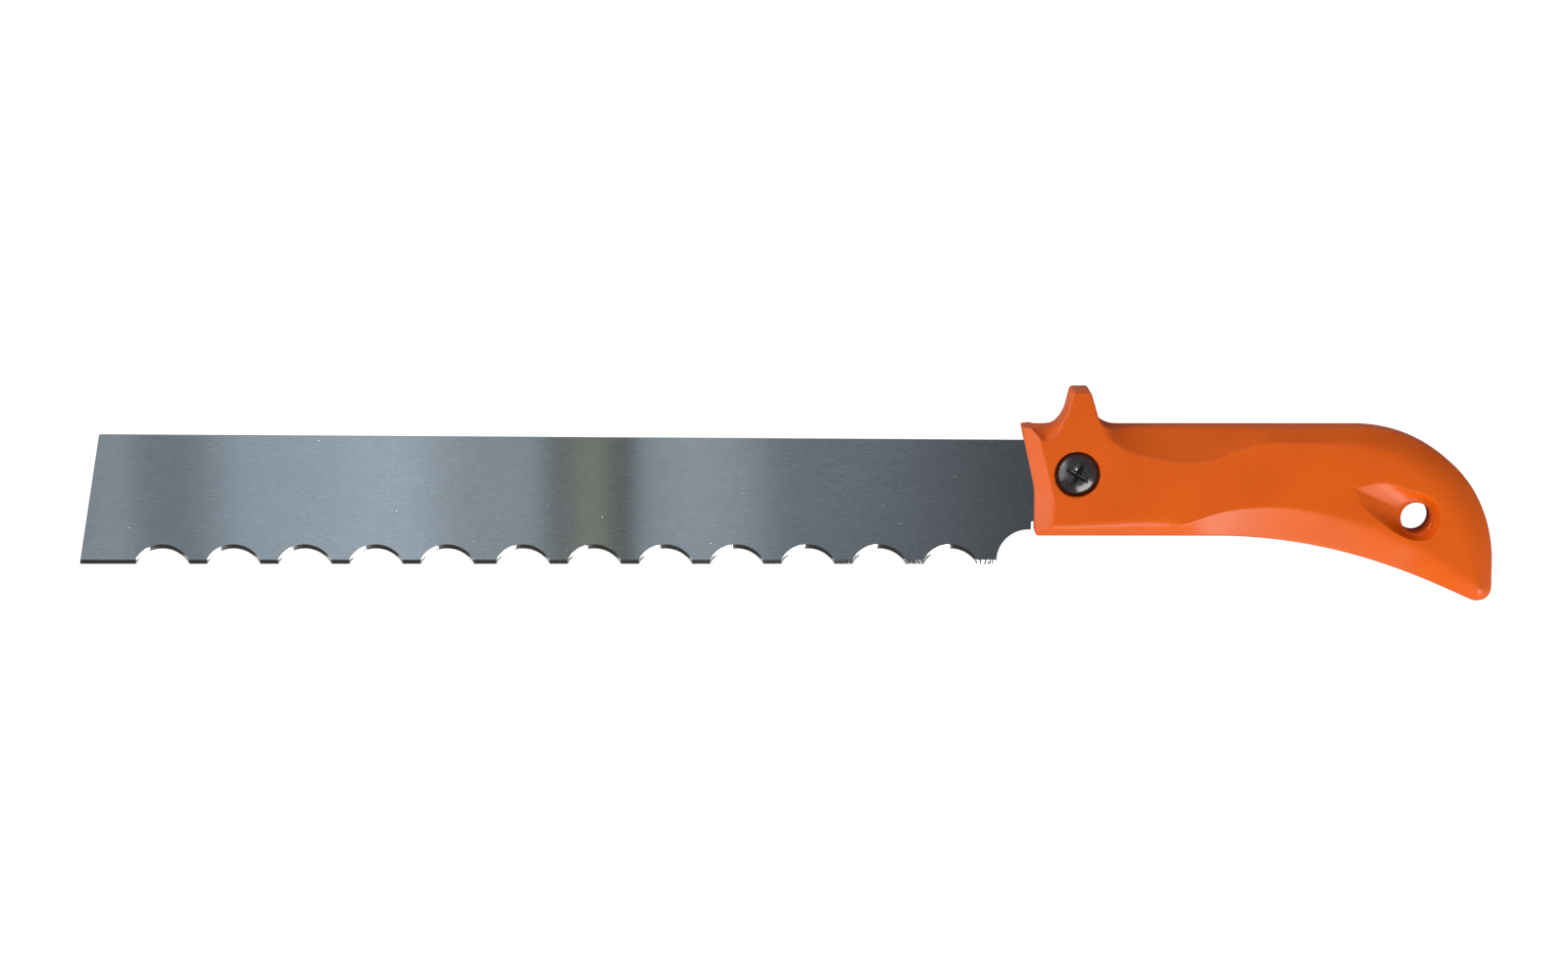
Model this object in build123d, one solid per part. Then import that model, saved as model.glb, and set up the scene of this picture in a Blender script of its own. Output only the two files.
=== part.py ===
"""Hand saw with a long scalloped blade and a clamshell grip, for sheet insulation and similar soft board.

The blade's tang slides into a pocket between two moulded half shells. One cross-recessed machine screw
passes through the front shell, an open slot in the tang and the back shell into a captive hex nut, and
clamps the tang. Three thread-forming screws, driven from the back, hold the shells together.

Construction frame: origin on the clamp screw's axis in the blade's mid-plane, +X towards the butt of the
grip, +Y towards the blade's spine, +Z towards the screw's head. The exported parts are moved so that the
row frame's origin is at the centre of the bottom of the whole object's box, lying on the back shell.
"""

from build123d import *
import math
import os

# ---------------------------------------------------------------- driving dimensions, millimetres
BLADE_THICKNESS = 1.0
EDGE_LENGTH = 300.0  # tip corner to the end of the last land
HEEL_X = -25.6
EDGE_Y = -30.9
SPINE_TIP_Y = 11.9
SPINE_HEEL_Y = 10.1
TIP_RAKE = 7.3  # how far the spine's corner lies behind the edge's corner

NOTCH_RADIUS = 10.0
NOTCH_DEPTH = 5.1
NOTCH_PITCH = 23.3
GRIND_GROUPS = ((-298.5, 5), (-180.5, 7))  # first scallop's centre and the number of scallops per pass
BEVEL_WIDTH = 1.5
EDGE_LAND = 0.1  # thickness left at the cutting edge

HEEL_RADIUS = 10.4
HEEL_ARC_Y = -29.8
SHOULDER_X = -14.4
TANG_BOTTOM_Y = -16.7
TANG_END_X = 32.0
TANG_SLOT = 6.6
TANG_MOUTH = 12.0  # width of the slot's flared rear end

SHELL_HALF = 10.0  # blade mid-plane to the grip's flat face
SHELL_EDGE = 5.5  # blade mid-plane to the top of the grip's side wall
TOP_Y = 15.0
BOTTOM_Y = -20.8
BUTT_X = 135.8
TAB_TOP_Y = 26.9
SEAM_CHAMFER = 0.35
POCKET_CLEARANCE = 0.15  # around the tang's edges
POCKET_SLACK = 0.05  # on each face of the tang
WALL = 3.0
RIB = 1.8
SHALLOW_ROOF = 2.8  # depth of each shell's hollow next to its walls
DEEP_ROOF = 7.2  # depth of the hollow under the flat face
HOLLOW_FRONT_X = 36.0
HOLLOW_END_X = 121.0
RIB_SPOTS = (43.5, 62.0, 73.0, 94.0)
CORE_ROOF = 6.9
CORE_SIZE = (8.6, 7.0)
CORE_SPOTS = ((15.4, 26.0), (-11.2, -2.2))

HOLE_X, HOLE_Y = 110.6, -14.8
HOLE_RADIUS = 5.0
HOLE_HALF = 6.0  # blade mid-plane to the land round the hanging hole
HOLE_LAND = 6.2

COUNTERBORE_RADIUS = 7.4
COUNTERBORE_FLOOR_Z = 6.1
SCREW_HOLE_RADIUS = 3.3

WASHER_OUTER = 6.1
WASHER_INNER = 3.05
WASHER_THICKNESS = 1.5
WASHER_SPLIT = 0.8
WASHER_SPLIT_ANGLE = 20.0

SCREW_RADIUS = 2.96
SCREW_LENGTH = 16.0
SCREW_POINT = 0.6
HEAD_RADIUS = 6.95
HEAD_RIM = 0.8
HEAD_HEIGHT = 3.7
HEAD_SEAT_Z = COUNTERBORE_FLOOR_Z + WASHER_THICKNESS
RECESS_REACH = 4.15
RECESS_WING = 1.5
RECESS_DEPTH = 2.6
RECESS_TURN = 60.0

NUT_ACROSS_FLATS = 10.0
NUT_HEIGHT = 5.0
NUT_BORE = 3.0
NUT_SEAT_Z = -4.0
NUT_POCKET_CLEARANCE = 0.04

SHELL_SCREW_SPOTS = ((52.0, -4.0), (83.0, 2.0), (125.5, -26.0))
SHELL_SCREW_RADIUS = 1.45
SHELL_SCREW_PILOT = 1.25
SHELL_SCREW_LENGTH = 12.0
SHELL_SCREW_SEAT_Z = -6.4
SHELL_SCREW_HEAD_RADIUS = 2.75
SHELL_SCREW_HEAD_HEIGHT = 2.1
SHELL_SCREW_WELL = 3.2
BOSS_RADIUS = 3.4

PIN_SPOTS = ((40.2, -14.6), (100.0, 8.0))
PIN_RADIUS = 1.5
PIN_LENGTH = 2.2
PIN_CLEARANCE = 0.08

TIP_X = HEEL_X - EDGE_LENGTH
MARGIN = 1.0


def slab(face, low, high):
    """A flat face on the XY plane, raised to fill low to high in Z."""
    return Pos(0, 0, low) * extrude(face, high - low)


def disc(radius, x=0.0, y=0.0):
    return Pos(x, y) * Circle(radius)


def cylinder(radius, low, high, x=0.0, y=0.0):
    return slab(disc(radius, x, y), low, high)


# ---------------------------------------------------------------- blade
def notch_centres():
    for first, count in GRIND_GROUPS:
        for n in range(count):
            yield first + n * NOTCH_PITCH


def edge_waste():
    """The area below the scalloped cutting edge, as ground away by the wave-shaped wheel."""
    length = HEEL_X - TIP_X + MARGIN
    waste = Pos(HEEL_X - length / 2, EDGE_Y - NOTCH_RADIUS) * Rectangle(length, 2 * NOTCH_RADIUS)
    for x in notch_centres():
        waste += disc(NOTCH_RADIUS, x, EDGE_Y + NOTCH_DEPTH - NOTCH_RADIUS)
    return waste


def blade_outline():
    with BuildSketch() as sketch:
        with BuildLine():
            Polyline(
                (TIP_X, EDGE_Y),
                (HEEL_X, EDGE_Y),
                (HEEL_X, HEEL_ARC_Y),
            )
            CenterArc((HEEL_X + HEEL_RADIUS, HEEL_ARC_Y), HEEL_RADIUS, 180, -90)
            Polyline(
                (HEEL_X + HEEL_RADIUS, HEEL_ARC_Y + HEEL_RADIUS),
                (SHOULDER_X, HEEL_ARC_Y + HEEL_RADIUS),
                (SHOULDER_X, TANG_BOTTOM_Y),
                (TANG_END_X, TANG_BOTTOM_Y),
                (TANG_END_X, SPINE_HEEL_Y),
                (SHOULDER_X, SPINE_HEEL_Y),
                (TIP_X + TIP_RAKE, SPINE_TIP_Y),
                (TIP_X, EDGE_Y),
            )
        make_face()
    return sketch.sketch


def tang_slot():
    """The slot that lets the blade leave forwards once the screw is slack, with a flared mouth."""
    flare = (TANG_MOUTH - TANG_SLOT) / 2
    with BuildSketch() as sketch:
        with BuildLine():
            Polyline(
                (0, TANG_SLOT / 2),
                (TANG_END_X - flare, TANG_SLOT / 2),
                (TANG_END_X + MARGIN, TANG_MOUTH / 2 + MARGIN),
                (TANG_END_X + MARGIN, -TANG_MOUTH / 2 - MARGIN),
                (TANG_END_X - flare, -TANG_SLOT / 2),
                (0, -TANG_SLOT / 2),
            )
            CenterArc((0, 0), TANG_SLOT / 2, 90, 180)
        make_face()
    return sketch.sketch


def make_blade():
    half = BLADE_THICKNESS / 2
    body = slab(blade_outline(), -half, half)
    corners = body.edges().filter_by(Axis.Z).group_by(Axis.X)[-1]
    body = chamfer(corners, 3.0)
    ground = BLADE_THICKNESS - EDGE_LAND
    waste = edge_waste()
    slant = Vector(0, BEVEL_WIDTH, ground)
    reach = 2.0  # times the bevel's own depth, so that the cut passes the front face
    body -= Pos(0, 0, EDGE_LAND - half) * extrude(waste, slant.length * reach, dir=slant)
    body -= slab(waste, -half - MARGIN, EDGE_LAND - half)
    return body - slab(tang_slot(), -half - MARGIN, half + MARGIN)


# ---------------------------------------------------------------- grip outline
FRONT_X = -13.3
FRONT_TOP = (-17.9, TOP_Y)
FRONT_KINK = (FRONT_X, -6.2)
FRONT_CORNER = 1.8
TAB_LEFT = ((-11.0, TOP_Y), (-5.7, 16.5), (-3.5, 19.8), (-1.9, 25.6))
TAB_RIGHT = ((4.6, 25.6), (6.4, 19.6), (8.0, 16.4), (12.0, TOP_Y))
TAB_CORNER = 1.2
REAR_CURVE = ((91.0, TOP_Y), (105.6, 12.7), (117.3, 6.8), (127.1, -2.5), (133.3, -14.3), (BUTT_X, -29.5))
BUTT_RADIUS = 4.6
BUTT_CENTRE = (BUTT_X - BUTT_RADIUS, -37.7)
BUTT_SWEEP = -113.5
BELLY_CURVE = ((116.5, -36.2), (101.0, -30.2), (81.8, -24.8), (64.5, -21.9), (46.0, BOTTOM_Y))

# Pairs of points: on the wall's top edge, and on the rim of the flat face. Straight lines join them.
FRONT_BEVEL = (
    ((FRONT_X, BOTTOM_Y), (-7.6, -18.0)),
    (FRONT_KINK, (-7.9, -5.8)),
    (FRONT_TOP, (-12.6, 12.6)),
)
NOSE_SCOOP = (
    (FRONT_TOP, (-12.6, 12.6)),
    ((-11.6, 15.2), (-10.2, 11.0)),
    ((-8.2, 15.6), (-7.2, 13.0)),
    ((-5.9, 17.2), (-5.2, 15.8)),
    ((-5.2, 20.0), (-4.6, 19.0)),
)
TAB_CLEAR = (((-6.0, 30.0), (-6.0, 30.0)), ((9.5, 30.0), (9.5, 30.0)))
THUMB_SCOOP = (
    ((8.2, 18.6), (7.4, 18.0)),
    ((9.8, 16.2), (8.6, 14.0)),
    ((14.0, 15.1), (12.4, 9.6)),
    ((20.0, 15.0), (19.2, 6.4)),
    ((27.0, 15.0), (27.0, 4.6)),
    ((37.0, 15.0), (36.7, 3.6)),
    ((46.0, 15.0), (45.0, 4.9)),
    ((54.0, 15.0), (52.5, 7.6)),
    ((62.0, 15.0), (60.5, 9.8)),
    ((71.5, 15.0), (70.0, 10.5)),
    ((83.0, 15.0), (81.5, 10.2)),
    ((95.0, 14.8), (92.5, 9.0)),
    ((106.5, 12.3), (102.5, 6.4)),
    ((117.3, 6.7), (112.3, 1.4)),
    ((126.6, -2.0), (120.8, -6.0)),
    ((132.9, -13.0), (126.6, -15.6)),
    ((135.8, -28.0), (130.0, -29.0)),
    ((136.0, -37.0), (131.6, -36.0)),
)
BELLY_BEVEL = (
    ((136.0, -37.0), (131.6, -36.0)),
    ((131.0, -42.6), (129.2, -37.6)),
    ((122.4, -39.2), (122.6, -33.6)),
    ((109.5, -33.2), (112.4, -25.6)),
    ((97.0, -28.8), (99.6, -19.0)),
    ((84.5, -25.4), (86.6, -14.5)),
    ((73.6, -23.3), (74.5, -11.7)),
    ((62.0, -21.6), (62.3, -10.7)),
    ((50.0, -20.9), (50.1, -11.8)),
    ((38.0, BOTTOM_Y), (38.0, -15.2)),
    ((26.0, BOTTOM_Y), (26.0, -16.4)),
    ((8.0, BOTTOM_Y), (8.0, -17.2)),
    ((FRONT_X, BOTTOM_Y), (-7.6, -18.0)),
)
HOLLOW_FRONT_TOP = (HOLLOW_FRONT_X, TOP_Y - WALL)
HOLLOW_FRONT_BOTTOM = (HOLLOW_FRONT_X, BOTTOM_Y + WALL)
HOLLOW_REAR = ((90.0, TOP_Y - WALL), (104.0, 9.9), (115.3, 4.0), (HOLLOW_END_X, -1.2))
HOLLOW_BELLY = (
    (HOLLOW_END_X, -34.8),
    (101.0, -26.9),
    (82.0, -21.7),
    (64.5, -18.9),
    (46.0, BOTTOM_Y + WALL),
)
TROUGH_RIM = (
    (89.8, -4.4),
    (98.5, -2.7),
    (107.4, -4.9),
    (115.6, -8.2),
    (118.2, -14.5),
    (115.0, -20.8),
    (108.0, -21.2),
    (99.0, -15.8),
    (92.4, -9.6),
)


def butt_arc_end():
    angle = math.radians(BUTT_SWEEP)
    return (
        BUTT_CENTRE[0] + BUTT_RADIUS * math.cos(angle),
        BUTT_CENTRE[1] + BUTT_RADIUS * math.sin(angle),
    )


def grip_outline():
    """The grip's outline: slanted front, thumb tab on the top, and a butt that hooks downwards."""
    end = butt_arc_end()
    leave = math.radians(BUTT_SWEEP - 90)
    tab_left, tab_right = TAB_LEFT[-1], TAB_RIGHT[0]
    with BuildSketch() as sketch:
        with BuildLine():
            Polyline((FRONT_X + FRONT_CORNER, BOTTOM_Y), (FRONT_X, BOTTOM_Y + FRONT_CORNER), FRONT_KINK)
            Polyline(FRONT_KINK, FRONT_TOP, TAB_LEFT[0])
            Spline(*TAB_LEFT, tangents=[(1, 0), (0.3, 1)])
            Polyline(
                tab_left,
                (tab_left[0] + TAB_CORNER, TAB_TOP_Y),
                (tab_right[0] - TAB_CORNER, TAB_TOP_Y),
                tab_right,
            )
            Spline(*TAB_RIGHT, tangents=[(0.3, -1), (1, 0)])
            Line(TAB_RIGHT[-1], REAR_CURVE[0])
            Spline(*REAR_CURVE, tangents=[(1, 0), (0, -1)])
            Line(REAR_CURVE[-1], (BUTT_X, BUTT_CENTRE[1]))
            CenterArc(BUTT_CENTRE, BUTT_RADIUS, 0, BUTT_SWEEP)
            Spline(end, *BELLY_CURVE, tangents=[(math.cos(leave), math.sin(leave)), (-1, 0)])
            Line(BELLY_CURVE[-1], (FRONT_X + FRONT_CORNER, BOTTOM_Y))
        make_face()
    return sketch.sketch


def along(pairs, step):
    """Points on the lines that join the pairs: step 0 is the wall's edge, 1 the flat face's rim."""
    return [(a[0] + (b[0] - a[0]) * step, a[1] + (b[1] - a[1]) * step) for a, b in pairs]


def bevel_section(z):
    step = (z - SHELL_EDGE) / (SHELL_HALF - SHELL_EDGE)
    nose = along(NOSE_SCOOP, step)
    clear = along(TAB_CLEAR, step)
    scoop = along(THUMB_SCOOP, step)
    with BuildSketch() as sketch:
        with BuildLine():
            Polyline(*along(FRONT_BEVEL, step))
            Spline(*nose)
            Polyline(nose[-1], *clear, scoop[0])
            Spline(*scoop)
            Spline(*along(BELLY_BEVEL, step))
        make_face()
    return Pos(0, 0, z) * sketch.sketch


def trough():
    """The thumb-wide hollow that runs down to the land round the hanging hole."""
    count = len(TROUGH_RIM)
    land = []
    for x, y in TROUGH_RIM:
        angle = math.atan2(y - HOLE_Y, x - HOLE_X)
        land.append((HOLE_X + HOLE_LAND * math.cos(angle), HOLE_Y + HOLE_LAND * math.sin(angle)))
    top = make_face(Spline(*TROUGH_RIM, periodic=True))
    floor = make_face(Spline(*land, periodic=True))
    solid = loft([Pos(0, 0, HOLE_HALF) * floor, Pos(0, 0, SHELL_HALF) * top], ruled=True)
    return solid + slab(top, SHELL_HALF, SHELL_HALF + MARGIN)


def half_grip():
    """One solid half of the grip, 0 to SHELL_HALF in Z, before the cuts for what it holds."""
    wall = slab(grip_outline(), 0, SHELL_HALF)
    wall = chamfer(wall.faces().sort_by(Axis.Z)[0].edges(), SEAM_CHAMFER)
    keep = loft([bevel_section(-MARGIN / 2), bevel_section(SHELL_HALF + MARGIN / 2)], ruled=True)
    return (wall & keep) - trough() - cylinder(HOLE_RADIUS, -MARGIN, SHELL_HALF + MARGIN, HOLE_X, HOLE_Y)


# ---------------------------------------------------------------- inside the grip
def hollow_outline():
    """The hollow behind the tang, about one wall in from the grip's outline."""
    with BuildSketch() as sketch:
        with BuildLine():
            Line(HOLLOW_FRONT_TOP, HOLLOW_REAR[0])
            Spline(*HOLLOW_REAR, tangents=[(1, 0), (0.75, -1)])
            Line(HOLLOW_REAR[-1], HOLLOW_BELLY[0])
            Spline(*HOLLOW_BELLY, tangents=[(-1, 0.42), (-1, 0)])
            Polyline(HOLLOW_BELLY[-1], HOLLOW_FRONT_BOTTOM, HOLLOW_FRONT_TOP)
        make_face()
    return sketch.sketch


def deep_outline():
    """The part of the hollow that lies under the flat face."""
    rim = (
        (HOLLOW_FRONT_X, -12.6),
        (HOLLOW_FRONT_X, 1.4),
        (47.0, 2.4),
        (60.0, 7.4),
        (82.0, 7.8),
        (89.0, 4.0),
        (86.0, -10.0),
        (75.0, -8.8),
        (62.0, -8.0),
        (50.0, -9.2),
    )
    return make_face(Polyline(*rim, close=True))


def half_hollow():
    """The hollow of one shell, less the ribs and bosses that are left standing in it."""
    room = slab(hollow_outline(), -MARGIN, SHALLOW_ROOF) + slab(deep_outline(), -MARGIN, DEEP_ROOF)
    for x in RIB_SPOTS:
        room -= Pos(x, 0, 0) * Box(RIB, 100, 3 * SHELL_HALF)
    for x, y in SHELL_SCREW_SPOTS + PIN_SPOTS:
        room -= cylinder(BOSS_RADIUS, -2 * MARGIN, SHELL_HALF, x, y)
    return room - cylinder(HOLE_RADIUS + WALL, -2 * MARGIN, SHELL_HALF, HOLE_X, HOLE_Y)


def half_tang_pocket():
    depth = BLADE_THICKNESS / 2 + POCKET_SLACK
    low, high = TANG_BOTTOM_Y - POCKET_CLEARANCE, SPINE_HEEL_Y + POCKET_CLEARANCE
    left, right = FRONT_TOP[0] - MARGIN, TANG_END_X + MARGIN
    face = Pos((left + right) / 2, (low + high) / 2) * Rectangle(right - left, high - low)
    return slab(face, -MARGIN, depth)


def half_cores():
    """Square cores that keep the plastic beside the tang to an even thickness."""
    cores = []
    for x in CORE_SPOTS[0]:
        for y in CORE_SPOTS[1]:
            cores.append(slab(Pos(x, y) * Rectangle(*CORE_SIZE), 0, CORE_ROOF))
    return Part() + cores


def shell_blank():
    blank = half_grip() - half_hollow() - half_tang_pocket() - half_cores()
    return blank - cylinder(SCREW_HOLE_RADIUS, -MARGIN, SHELL_HALF + MARGIN)


def make_front_shell():
    shell = shell_blank()
    shell -= cylinder(COUNTERBORE_RADIUS, COUNTERBORE_FLOOR_Z, SHELL_HALF + MARGIN)
    pilot_depth = SHELL_SCREW_LENGTH + SHELL_SCREW_SEAT_Z + MARGIN / 2
    for x, y in SHELL_SCREW_SPOTS:
        shell -= cylinder(SHELL_SCREW_PILOT, -MARGIN, pilot_depth, x, y)
    for x, y in PIN_SPOTS:
        shell += cylinder(PIN_RADIUS, -PIN_LENGTH, MARGIN, x, y)
    return shell


def nut_pocket():
    radius = NUT_ACROSS_FLATS / 2 + NUT_POCKET_CLEARANCE
    return slab(RegularPolygon(radius, 6, major_radius=False), -SHELL_HALF - MARGIN, NUT_SEAT_Z)


def make_back_shell():
    shell = mirror(shell_blank(), about=Plane.XY)
    shell -= nut_pocket()
    for x, y in SHELL_SCREW_SPOTS:
        shell -= cylinder(SHELL_SCREW_RADIUS + 0.15, -SHELL_HALF, MARGIN, x, y)
        shell -= cylinder(SHELL_SCREW_WELL, -SHELL_HALF - MARGIN, SHELL_SCREW_SEAT_Z, x, y)
    for x, y in PIN_SPOTS:
        shell -= cylinder(PIN_RADIUS + PIN_CLEARANCE, -PIN_LENGTH - MARGIN / 2, MARGIN, x, y)
    return shell


# ---------------------------------------------------------------- fasteners
def cross_recess(reach, wing, depth, turn):
    """Two crossed wings that narrow towards the bottom, opening at z = 0."""
    mouth = Rectangle(2 * reach, wing) + Rectangle(wing, 2 * reach)
    floor_reach, floor_wing = 0.42 * reach, 0.6 * wing
    floor = Rectangle(2 * floor_reach, floor_wing) + Rectangle(floor_wing, 2 * floor_reach)
    return Rot(0, 0, turn) * loft([Pos(0, 0, -depth) * floor, mouth], ruled=True)


def domed_head(radius, rim, height):
    """A screw head standing on z = 0: a short rim and a shallow dome."""
    rise = height - rim
    sphere = (radius**2 + rise**2) / (2 * rise)
    cap = cylinder(radius, 0, height) & (Pos(0, 0, height - sphere) * Sphere(sphere))
    return cap


def make_clamp_screw():
    """M6 cross-recessed truss-head screw. The shank is plain, at the thread's outer diameter."""
    head = domed_head(HEAD_RADIUS, HEAD_RIM, HEAD_HEIGHT)
    head -= Pos(0, 0, HEAD_HEIGHT) * cross_recess(RECESS_REACH, RECESS_WING, RECESS_DEPTH, RECESS_TURN)
    shank = cylinder(SCREW_RADIUS, -SCREW_LENGTH, 0)
    shank = chamfer(shank.edges().sort_by(Axis.Z)[0], SCREW_POINT)
    return Pos(0, 0, HEAD_SEAT_Z) * (head + shank)


def make_spring_washer():
    ring = cylinder(WASHER_OUTER, 0, WASHER_THICKNESS) - cylinder(WASHER_INNER, 0, WASHER_THICKNESS)
    middle = (WASHER_OUTER + WASHER_INNER) / 2
    cut = Pos(middle, 0, WASHER_THICKNESS / 2) * Rot(WASHER_SPLIT_ANGLE, 0, 0)
    ring -= cut * Box(2 * (WASHER_OUTER - WASHER_INNER), WASHER_SPLIT, 3 * WASHER_THICKNESS)
    return Pos(0, 0, COUNTERBORE_FLOOR_Z) * ring


def make_clamp_nut():
    blank = slab(RegularPolygon(NUT_ACROSS_FLATS / 2, 6, major_radius=False), 0, NUT_HEIGHT)
    corner = NUT_ACROSS_FLATS / math.sqrt(3)
    rounded = chamfer(cylinder(corner, 0, NUT_HEIGHT).edges(), 0.5)
    nut = (blank & rounded) - cylinder(NUT_BORE, 0, NUT_HEIGHT)
    return Pos(0, 0, NUT_SEAT_Z - NUT_HEIGHT) * nut


def make_shell_screw(x, y):
    """3 mm thread-forming pan-head screw with its head down, driven upwards from the back."""
    head = domed_head(SHELL_SCREW_HEAD_RADIUS, 0.8, SHELL_SCREW_HEAD_HEIGHT)
    recess = Pos(0, 0, SHELL_SCREW_HEAD_HEIGHT) * cross_recess(1.6, 0.7, 1.2, 0)
    shank = cylinder(SHELL_SCREW_RADIUS, -SHELL_SCREW_LENGTH, 0)
    shank = chamfer(shank.edges().sort_by(Axis.Z)[0], 0.8)
    return Pos(x, y, SHELL_SCREW_SEAT_Z) * Rot(180, 0, 0) * (head - recess + shank)


# ---------------------------------------------------------------- assembly
def make_parts():
    parts = {
        "blade": make_blade(),
        "front_shell": make_front_shell(),
        "back_shell": make_back_shell(),
        "clamp_screw": make_clamp_screw(),
        "spring_washer": make_spring_washer(),
        "clamp_nut": make_clamp_nut(),
    }
    for n, (x, y) in enumerate(SHELL_SCREW_SPOTS, start=1):
        parts[f"shell_screw_{n}"] = make_shell_screw(x, y)
    return parts


def bottom_centre(parts):
    """Centre of the bottom of the box that holds every part."""
    boxes = [part.bounding_box() for part in parts]
    low = [min(tuple(box.min)[axis] for box in boxes) for axis in range(3)]
    high = [max(tuple(box.max)[axis] for box in boxes) for axis in range(3)]
    return (low[0] + high[0]) / 2, (low[1] + high[1]) / 2, low[2]


parts = make_parts()
x, y, z = bottom_centre(parts.values())
print(f"clamp screw axis in the row frame: {-x:.3f} {-y:.3f}; blade mid-plane: {-z:.3f}")

os.makedirs("parts", exist_ok=True)
for name, part in parts.items():
    export_step(Pos(-x, -y, -z) * part, f"parts/{name}.step")
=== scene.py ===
import math

import bmesh
import bpy
import numpy as np
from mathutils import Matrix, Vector
from mathutils.geometry import delaunay_2d_cdt


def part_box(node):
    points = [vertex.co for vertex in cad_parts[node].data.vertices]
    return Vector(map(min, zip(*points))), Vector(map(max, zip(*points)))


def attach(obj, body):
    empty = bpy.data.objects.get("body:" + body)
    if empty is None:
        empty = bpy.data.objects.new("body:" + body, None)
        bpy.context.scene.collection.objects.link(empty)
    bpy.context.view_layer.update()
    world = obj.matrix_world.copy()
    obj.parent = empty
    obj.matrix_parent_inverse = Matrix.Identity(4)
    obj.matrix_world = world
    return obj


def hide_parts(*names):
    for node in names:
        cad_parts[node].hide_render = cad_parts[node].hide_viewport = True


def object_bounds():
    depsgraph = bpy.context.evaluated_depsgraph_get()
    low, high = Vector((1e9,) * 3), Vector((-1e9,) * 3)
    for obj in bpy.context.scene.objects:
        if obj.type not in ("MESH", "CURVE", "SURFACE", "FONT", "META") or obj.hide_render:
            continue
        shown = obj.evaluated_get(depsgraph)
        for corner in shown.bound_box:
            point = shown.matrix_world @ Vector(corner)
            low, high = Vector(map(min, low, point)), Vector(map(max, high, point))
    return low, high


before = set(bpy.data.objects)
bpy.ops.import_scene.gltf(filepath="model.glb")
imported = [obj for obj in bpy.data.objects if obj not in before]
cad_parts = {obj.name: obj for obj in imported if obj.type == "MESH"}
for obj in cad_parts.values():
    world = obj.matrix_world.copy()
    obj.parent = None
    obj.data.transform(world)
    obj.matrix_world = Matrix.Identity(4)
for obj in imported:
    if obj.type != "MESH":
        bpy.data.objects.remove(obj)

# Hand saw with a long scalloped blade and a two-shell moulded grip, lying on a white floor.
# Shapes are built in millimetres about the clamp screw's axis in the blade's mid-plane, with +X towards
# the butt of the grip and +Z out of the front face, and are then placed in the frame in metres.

CAD_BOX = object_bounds()
SCREW_LOW, SCREW_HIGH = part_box("clamp_screw")
BLADE_LOW, BLADE_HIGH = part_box("blade")
MM = 0.001
ORIGIN = Vector((
    (SCREW_LOW[0] + SCREW_HIGH[0]) / 2,
    (SCREW_LOW[1] + SCREW_HIGH[1]) / 2,
    (BLADE_LOW[2] + BLADE_HIGH[2]) / 2,
))

# ---------------------------------------------------------------- driving sizes, millimetres
SHELL_HALF = 10.0  # blade mid-plane to the grip's flat face
SHELL_EDGE = 5.5  # blade mid-plane to the top of the bevelled side walls
BEVEL_DROP = SHELL_HALF - SHELL_EDGE
SEAM = 0.35  # chamfer of each shell at the parting plane
EDGE_ROUND = 0.7
TOP_Y = 15.0
BOTTOM_Y = -20.8
FRONT_X = -13.3
FRONT_TOP = (-17.9, TOP_Y)
FRONT_KINK = (FRONT_X, -6.2)
TAB_TOP_Y = 26.9
TAB_LEFT = ((-11.0, TOP_Y), (-5.7, 16.5), (-3.5, 19.8), (-1.9, 25.6))
TAB_RIGHT = ((4.6, 25.6), (6.4, 19.6), (8.0, 16.4), (12.0, TOP_Y))
BUTT_X = 135.8
REAR_CURVE = ((91.0, TOP_Y), (105.6, 12.7), (117.3, 6.8), (127.1, -2.5), (133.3, -14.3), (BUTT_X, -29.5))
BUTT_RADIUS = 4.6
BUTT_CENTRE = (BUTT_X - BUTT_RADIUS, -37.7)
BUTT_SWEEP = math.radians(-113.5)
BELLY_CURVE = ((116.5, -36.2), (101.0, -30.2), (81.8, -24.8), (64.5, -21.9), (46.0, BOTTOM_Y))

HOLE = (110.6, -14.8)
HOLE_RADIUS = 5.0
HOLE_LAND_Z = 6.0
HOLE_LAND = 6.2
COUNTERBORE_RADIUS = 7.4
COUNTERBORE_FLOOR_Z = 6.1
SCREW_HOLE = 3.3
NUT_POCKET = 10.08  # across flats
NUT_SEAT_Z = 4.0
WELLS = ((52.0, -4.0), (83.0, 2.0), (125.5, -26.0))
WELL_RADIUS = 3.2
WELL_FLOOR_Z = 6.4
WELL_HOLE = 1.6

# Creases between the flat face and the bevels.
FRONT_UPPER_CREASE = ((-12.6, 12.6), (-7.9, -5.7))
FRONT_LOWER_CREASE_X = -7.65
NOSE_RIM = (
    (-16.6, 16.4),
    (-15.2, 14.6),
    (-12.2, 12.0),
    (-10.4, 10.9),
    (-7.8, 12.5),
    (-6.0, 14.2),
    (-4.7, 16.2),
    (-4.3, 17.5),
    (-4.0, 21.0),
)
TOP_RIM = (
    (7.4, 22.0),
    (7.8, 17.6),
    (8.3, 15.4),
    (9.2, 13.4),
    (10.7, 11.6),
    (12.8, 9.8),
    (19.2, 6.5),
    (25.6, 4.9),
    (31.9, 3.9),
    (36.7, 3.6),
    (41.5, 4.0),
    (46.0, 5.3),
    (51.0, 7.2),
    (56.0, 9.0),
    (60.5, 10.1),
    (66.0, 10.4),
    (79.0, 10.3),
    (89.3, 9.3),
    (98.0, 6.9),
    (106.0, 3.0),
    (113.0, -2.2),
    (119.4, -9.0),
    (124.4, -17.6),
    (127.6, -28.0),
    (129.2, -37.0),
)
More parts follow.
